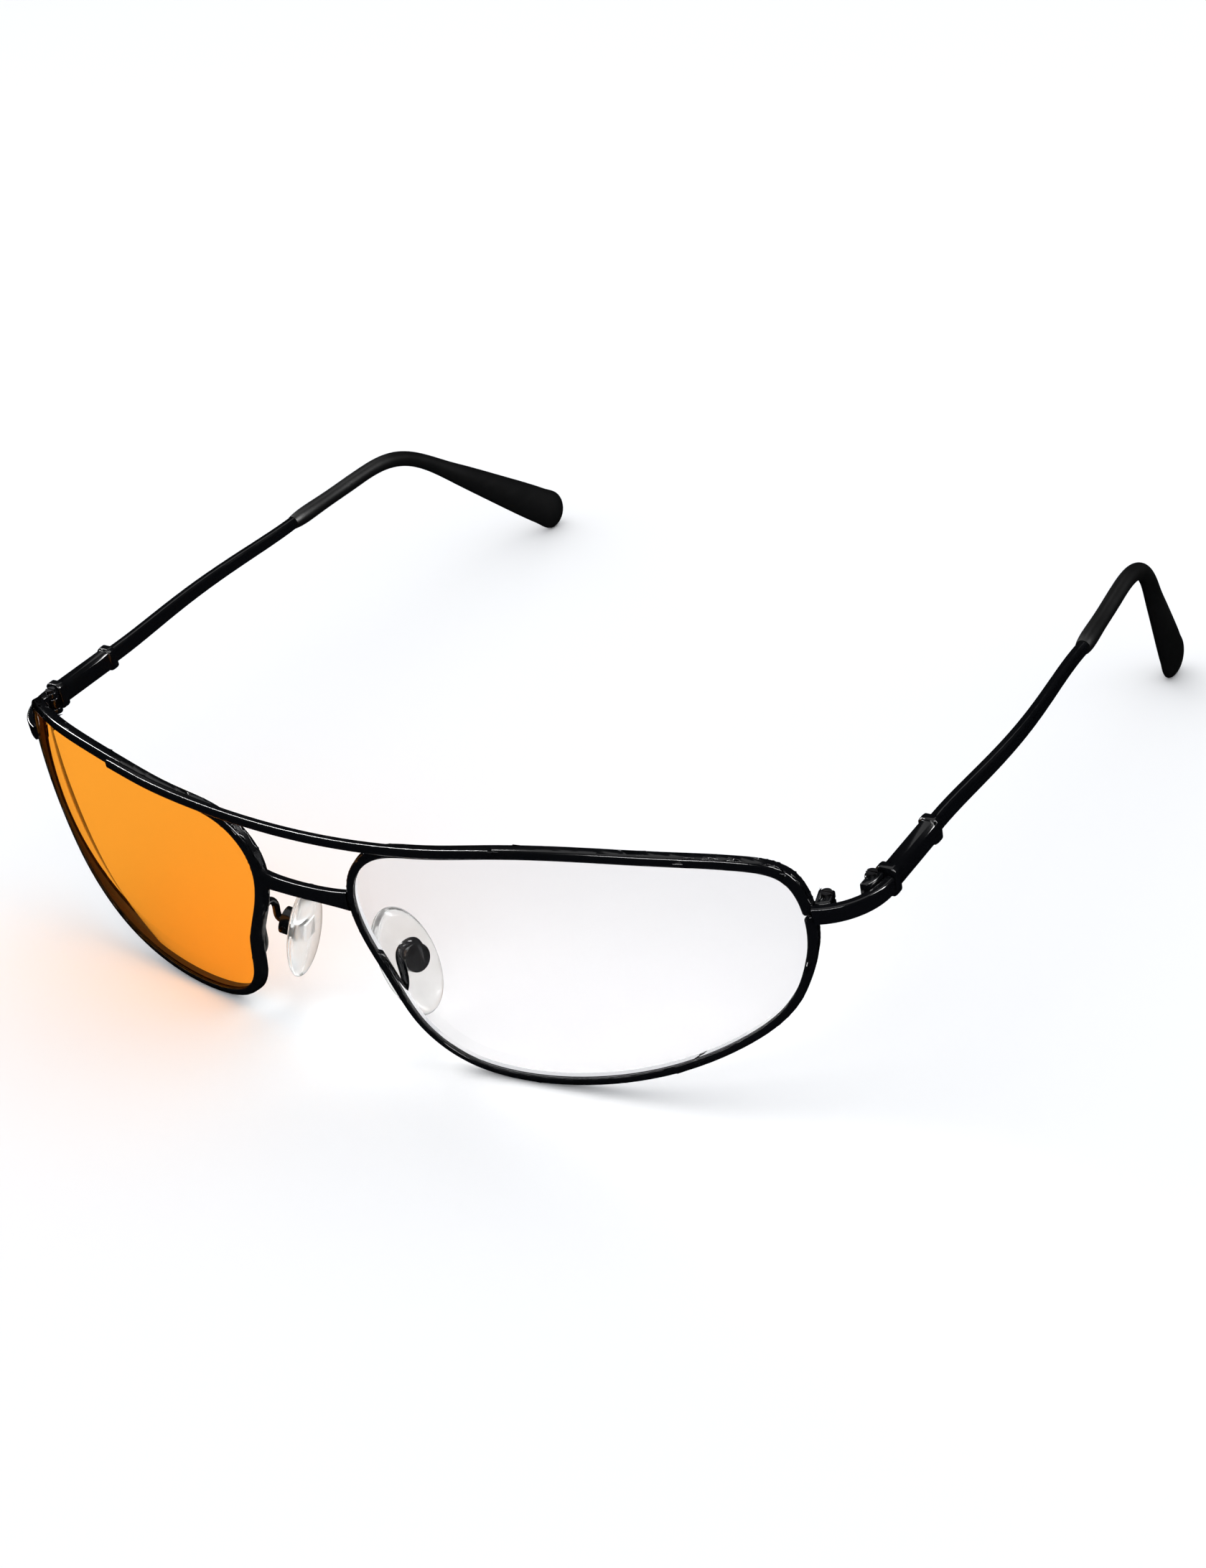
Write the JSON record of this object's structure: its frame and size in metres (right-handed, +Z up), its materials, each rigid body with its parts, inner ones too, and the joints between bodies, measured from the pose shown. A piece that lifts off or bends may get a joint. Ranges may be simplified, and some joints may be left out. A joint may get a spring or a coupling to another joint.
{
  "type": "double bridge spectacles",
  "caption": "Full metal spectacles with a double bridge, one clear and one orange lens, silicone nose pads on curved arms, sprung folding temples and black bent tips.",
  "frame": {"origin": "middle of the bounding box, at the level that the rims and temple tips stand on", "axes": "+Z up, -Y the way the wearer looks, +X to the wearer's left"},
  "size_m": [0.1446, 0.1524, 0.0381],
  "materials": {
    "frame_black": "smooth black lacquer over metal, glossy with soft edges",
    "screw_black": "blackened steel, slightly worn at the slots",
    "hinge_steel": "plain spring steel, lightly oiled",
    "insert_metal": "dull stamped metal",
    "pad_silicone": "clear soft silicone, glossy, faintly clouded",
    "lens_clear": "clear lens with a faint cool coating",
    "lens_orange": "flat vivid orange tinted lens",
    "tip_plastic": "satin black moulded plastic"
  },
  "bodies": {
    "front": {"rim_left": "frame_black", "lens_left": "lens_clear", "end_piece_left": "frame_black", "closing_block_upper_left": "frame_black", "closing_block_lower_left": "frame_black", "closing_screw_left": "screw_black", "pad_arm_left": "frame_black", "pad_box_left": "frame_black", "pad_screw_left": "screw_black", "hinge_front_left": "frame_black", "hinge_screw_left": "screw_black", "rim_right": "frame_black", "lens_right": "lens_orange", "end_piece_right": "frame_black", "closing_block_upper_right": "frame_black", "closing_block_lower_right": "frame_black", "closing_screw_right": "screw_black", "pad_arm_right": "frame_black", "pad_box_right": "frame_black", "pad_screw_right": "screw_black", "hinge_front_right": "frame_black", "hinge_screw_right": "screw_black", "brow_bar": "frame_black", "bridge": "frame_black"},
    "pad_left": {"nose_pad_left": "pad_silicone", "pad_insert_left": "insert_metal"},
    "hinge_slide_left": {"hinge_slider_left": "hinge_steel", "spring_stop_left": "hinge_steel", "hinge_spring_left": "hinge_steel"},
    "temple_left_body": {"hinge_housing_left": "frame_black", "spring_guide_left": "hinge_steel", "temple_left": "frame_black", "temple_tip_left": "tip_plastic"},
    "pad_right": {"nose_pad_right": "pad_silicone", "pad_insert_right": "insert_metal"},
    "hinge_slide_right": {"hinge_slider_right": "hinge_steel", "spring_stop_right": "hinge_steel", "hinge_spring_right": "hinge_steel"},
    "temple_right_body": {"hinge_housing_right": "frame_black", "spring_guide_right": "hinge_steel", "temple_right": "frame_black", "temple_tip_right": "tip_plastic"}
  },
  "joints": [
    {"name": "temple_fold_left", "type": "hinge", "parent": "front", "child": "hinge_slide_left", "pos_m": [0.06961, -0.04966, 0.02685], "axis": [0, -0.0416, 0.9991], "range_deg": [0, 92]},
    {"name": "temple_flex_left", "type": "slide", "parent": "hinge_slide_left", "child": "temple_left_body", "axis": [0, 0.9991, 0.0416], "range_m": [0, 0.0011], "stiffness_N_per_m": 800, "springref_m": -0.001, "deforming": ["hinge_spring_left"]},
    {"name": "nose_pad_rock_left", "type": "hinge", "parent": "front", "child": "pad_left", "pos_m": [0.0109, -0.06835, 0.01356], "axis": [0.1825, 0.9785, 0.0966], "range_deg": [-8, 8]},
    {"name": "temple_fold_right", "type": "hinge", "parent": "front", "child": "hinge_slide_right", "pos_m": [-0.06961, -0.04966, 0.02685], "axis": [0, 0.0416, -0.9991], "range_deg": [0, 88]},
    {"name": "temple_flex_right", "type": "slide", "parent": "hinge_slide_right", "child": "temple_right_body", "axis": [0, 0.9991, 0.0416], "range_m": [0, 0.0011], "stiffness_N_per_m": 800, "springref_m": -0.001, "deforming": ["hinge_spring_right"]},
    {"name": "nose_pad_rock_right", "type": "hinge", "parent": "front", "child": "pad_right", "pos_m": [-0.0109, -0.06835, 0.01356], "axis": [-0.1825, 0.9785, 0.0966], "range_deg": [-8, 8]}
  ]
}
